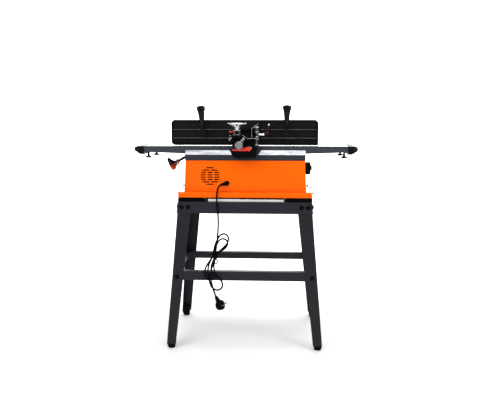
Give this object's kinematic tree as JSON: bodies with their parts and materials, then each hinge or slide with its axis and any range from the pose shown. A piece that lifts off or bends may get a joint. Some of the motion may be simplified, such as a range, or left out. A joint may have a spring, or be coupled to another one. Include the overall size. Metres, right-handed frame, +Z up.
{
  "type": "bench jointer on a leg stand",
  "caption": "Bench jointer, or surface planer, on a sheet steel leg stand, with two tables, a sliding and tilting fence, a depth knob, pull-out end supports and a hanging mains lead.",
  "frame": {"origin": "on the floor under the middle of the stand", "axes": "+X towards the outfeed end, +Y towards the operator, +Z up; the fence carriage and the mains lead are on the -Y side"},
  "size_m": [0.913, 0.4343, 0.989],
  "materials": {
    "stand_steel": "satin powder coat",
    "rubber": "matte",
    "orange_steel": "semi gloss powder coat",
    "grey_casting": "satin paint",
    "table_aluminium": "machined",
    "black_plastic": "fine grain",
    "screw_steel": "blackened",
    "orange_red_plastic": "moulded",
    "motor_paint": "satin",
    "cutter_steel": "turned",
    "bright_steel": "polished",
    "black_casting": "textured black coat over cast aluminium",
    "red_plastic": "moulded",
    "chrome": "plated",
    "guard_paint": "satin red",
    "green_plastic": "moulded"
  },
  "bodies": {
    "base": {"leg_rear_infeed": "stand_steel", "foot_cap_rear_infeed": "rubber", "leg_rear_outfeed": "stand_steel", "foot_cap_rear_outfeed": "rubber", "leg_front_infeed": "stand_steel", "foot_cap_front_infeed": "rubber", "leg_front_outfeed": "stand_steel", "foot_cap_front_outfeed": "rubber", "top_rail_rear": "stand_steel", "stretcher_rear": "stand_steel", "top_rail_front": "stand_steel", "stretcher_front": "stand_steel", "top_rail_infeed": "stand_steel", "stretcher_infeed": "stand_steel", "top_rail_outfeed": "stand_steel", "stretcher_outfeed": "stand_steel", "base_pads": "rubber", "base_tray": "orange_steel", "cabinet": "orange_steel", "bed_casting": "grey_casting", "outfeed_table": "table_aluminium", "motor": "motor_paint", "drive_belt": "rubber", "bearing_rear": "bright_steel", "bearing_front": "bright_steel", "slide_bed": "black_casting", "switch_box": "black_plastic", "strain_relief": "rubber", "mains_lead": "rubber", "lead_hank": "rubber", "lead_tie": "rubber", "mains_plug": "rubber"},
    "infeed_table": {"infeed_table": "table_aluminium"},
    "infeed_support": {"infeed_end_support": "black_plastic"},
    "outfeed_support": {"outfeed_end_support": "black_plastic"},
    "infeed_knob_rear": {"infeed_lock_knob_rear": "black_plastic"},
    "infeed_knob_front": {"infeed_lock_knob_front": "black_plastic"},
    "outfeed_knob_rear": {"outfeed_lock_knob_rear": "black_plastic"},
    "outfeed_knob_front": {"outfeed_lock_knob_front": "black_plastic"},
    "depth_adjuster": {"depth_screw": "screw_steel", "depth_hand_knob": "orange_red_plastic"},
    "motor_shaft": {"motor_pulley": "table_aluminium"},
    "cutter": {"cutterblock": "cutter_steel", "knife_a": "bright_steel", "knife_b": "bright_steel", "cutter_pulley": "table_aluminium"},
    "carriage": {"fence_carriage": "black_casting", "clamp_block": "chrome", "tilt_stop_bolt": "chrome"},
    "fence": {"fence": "black_casting", "tilt_bracket": "black_casting"},
    "tilt_lever": {"tilt_lock_lever": "red_plastic"},
    "handwheel": {"clamp_handwheel": "chrome"},
    "lock_handle": {"slide_lock_handle": "bright_steel"},
    "cam": {"cam_lever": "red_plastic"},
    "fence_lever_infeed": {"infeed_fence_lever": "black_plastic"},
    "fence_lever_outfeed": {"outfeed_fence_lever": "black_plastic"},
    "guard": {"cutter_guard": "guard_paint"},
    "start": {"start_button": "green_plastic"},
    "stop": {"stop_button": "red_plastic"}
  },
  "joints": [
    {"name": "depth_knob_turn", "type": "hinge", "parent": "base", "child": "depth_adjuster", "pos_m": [-0.266, 0, 0.769], "axis": [-0.866, 0, -0.5], "range_deg": [0, 720]},
    {"name": "infeed_table_slide", "type": "slide", "parent": "base", "child": "infeed_table", "axis": [-0.866, 0, -0.5], "range_m": [0, 0.006]},
    {"name": "infeed_support_slide", "type": "slide", "parent": "infeed_table", "child": "infeed_support", "axis": [-1, 0, 0], "range_m": [0, 0.16]},
    {"name": "outfeed_support_slide", "type": "slide", "parent": "base", "child": "outfeed_support", "axis": [1, 0, 0], "range_m": [0, 0.16]},
    {"name": "cutter_spin", "type": "hinge", "parent": "base", "child": "cutter", "pos_m": [0, 0, 0.793], "axis": [0, 1, 0], "continuous": true},
    {"name": "motor_spin", "type": "hinge", "parent": "base", "child": "motor_shaft", "pos_m": [-0.144, 0, 0.701], "axis": [0, 1, 0], "continuous": true},
    {"name": "carriage_slide", "type": "slide", "parent": "base", "child": "carriage", "axis": [0, 1, 0], "range_m": [0, 0.06]},
    {"name": "fence_tilt", "type": "hinge", "parent": "carriage", "child": "fence", "pos_m": [0, -0.054, 0.8243], "axis": [1, 0, 0], "range_deg": [0, 45]},
    {"name": "tilt_lock_turn", "type": "hinge", "parent": "fence", "child": "tilt_lever", "pos_m": [0.087, -0.082, 0.875], "axis": [1, 0, 0], "range_deg": [0, 60]},
    {"name": "clamp_handwheel_turn", "type": "hinge", "parent": "carriage", "child": "handwheel", "pos_m": [-0.029, -0.17, 0.901], "axis": [0, 0, 1], "range_deg": [0, 360]},
    {"name": "slide_lock_turn", "type": "hinge", "parent": "carriage", "child": "lock_handle", "pos_m": [-0.004, -0.155, 0.8525], "axis": [-0.2986, -0.8605, -0.4127], "range_deg": [0, 180]},
    {"name": "cam_lever_turn", "type": "hinge", "parent": "carriage", "child": "cam", "pos_m": [0.02, -0.189, 0.819], "axis": [0, 1, 0], "range_deg": [-50, 0]},
    {"name": "infeed_fence_lever_swing", "type": "hinge", "parent": "fence", "child": "fence_lever_infeed", "pos_m": [-0.175, -0.088, 0.877], "axis": [0, 1, 0], "range_deg": [-75, 0]},
    {"name": "outfeed_fence_lever_swing", "type": "hinge", "parent": "fence", "child": "fence_lever_outfeed", "pos_m": [0.167, -0.088, 0.879], "axis": [0, 1, 0], "range_deg": [0, 75]},
    {"name": "guard_swing", "type": "hinge", "parent": "base", "child": "guard", "pos_m": [-0.008, 0.114, 0.831], "axis": [0, 0, 1], "range_deg": [0, 75], "stiffness_Nm_per_rad": 0.3},
    {"name": "start_button_press", "type": "slide", "parent": "base", "child": "start", "axis": [-1, 0, 0], "range_m": [0, 0.003], "stiffness_N_per_m": 600},
    {"name": "stop_button_press", "type": "slide", "parent": "base", "child": "stop", "axis": [-1, 0, 0], "range_m": [0, 0.003], "stiffness_N_per_m": 600},
    {"name": "infeed_knob_rear_turn", "type": "hinge", "parent": "infeed_table", "child": "infeed_knob_rear", "pos_m": [-0.403, -0.08, 0.776], "axis": [0, 0, 1], "range_deg": [0, 360]},
    {"name": "infeed_knob_front_turn", "type": "hinge", "parent": "infeed_table", "child": "infeed_knob_front", "pos_m": [-0.403, 0.08, 0.776], "axis": [0, 0, 1], "range_deg": [0, 360]},
    {"name": "outfeed_knob_rear_turn", "type": "hinge", "parent": "base", "child": "outfeed_knob_rear", "pos_m": [0.403, -0.08, 0.776], "axis": [0, 0, 1], "range_deg": [0, 360]},
    {"name": "outfeed_knob_front_turn", "type": "hinge", "parent": "base", "child": "outfeed_knob_front", "pos_m": [0.403, 0.08, 0.776], "axis": [0, 0, 1], "range_deg": [0, 360]}
  ],
  "couplings": [
    {"joint": "depth_knob_turn", "follows": "infeed_table_slide", "rad_per_m": 2094},
    {"joint": "motor_spin", "follows": "cutter_spin", "ratio": 0.5}
  ]
}
